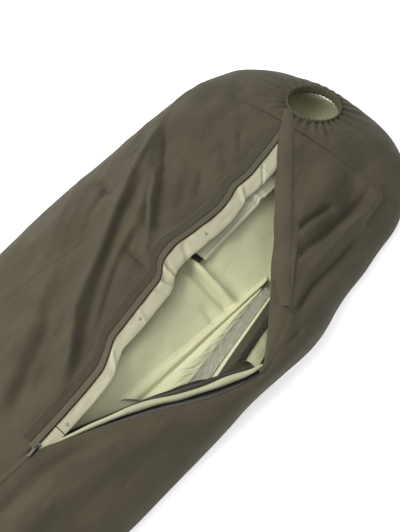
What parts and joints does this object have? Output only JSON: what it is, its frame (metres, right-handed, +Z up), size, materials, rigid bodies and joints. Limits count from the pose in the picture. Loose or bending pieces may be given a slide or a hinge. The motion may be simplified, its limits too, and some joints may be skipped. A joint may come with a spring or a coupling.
{
  "type": "bivy sack",
  "caption": "Open bivy sack: laminate cover lying flat, zipped mouth pulled open, storm flap, studded inner flap and hood with a face opening.",
  "frame": {"origin": "centre of the sack's footprint, on the ground under the floor panel", "axes": "+X towards the hood, +Y towards the fixed side of the zip, +Z up"},
  "size_m": [2.25, 0.9244, 0.1617],
  "materials": {
    "laminate": "matte olive laminate, pale green-cream on the inside",
    "lining": "matte pale lining",
    "tape": "matte woven tape",
    "hook_and_loop": "napped",
    "sealing_tape": "satin",
    "coil": "satin",
    "metal": "brushed, satin",
    "label_cloth": "woven satin",
    "webbing": "woven"
  },
  "bodies": {
    "sack": {"floor_panel": "laminate", "top_left_panel": "laminate", "top_right_panel": "laminate", "foot_panel": "laminate", "hood_panel": "laminate", "hood_hem": "laminate", "hood_eyelets": "metal", "centre_seam_tape": "sealing_tape", "loop_strip": "hook_and_loop", "zip_tape_left": "tape", "zip_tape_right": "tape", "zip_chain_left": "coil", "zip_chain_right": "coil", "zip_bottom_stop": "metal", "zip_top_stops": "metal", "storm_flap_binding": "tape", "inner_flap_head": "lining", "head_stud": "metal", "stud_sockets": "metal", "turned_edge": "lining", "turned_facing": "laminate", "turned_hook_band": "hook_and_loop", "seam_tape": "sealing_tape", "pocket_strip": "lining", "label": "label_cloth", "peg_loops": "webbing"},
    "storm_flap": {"storm_flap": "laminate", "storm_flap_hooks": "hook_and_loop"},
    "inner_flap": {"inner_flap": "lining", "stud_caps": "metal", "stud_posts": "metal"},
    "slider": {"zip_slider": "metal"},
    "pull": {"zip_pull": "metal"}
  },
  "joints": [
    {"name": "storm_flap_hinge", "type": "hinge", "parent": "sack", "child": "storm_flap", "pos_m": [0.78082, -0.04369, 0.14938], "axis": [0.8113, 0.5817, 0.0582], "range_deg": [0, 150]},
    {"name": "inner_flap_hinge", "type": "hinge", "parent": "sack", "child": "inner_flap", "pos_m": [-0.43911, -0.14288, 0.14631], "axis": [-0.9937, -0.1119, 0], "range_deg": [0, 100]},
    {"name": "zip_slide", "type": "slide", "parent": "sack", "child": "slider", "axis": [0.9937, 0.1119, 0], "range_m": [0, 1.11]},
    {"name": "pull_hinge", "type": "hinge", "parent": "slider", "child": "pull", "pos_m": [-0.42664, -0.13296, 0.15507], "axis": [-0.1113, 0.9882, -0.1051], "range_deg": [0, 150]}
  ]
}
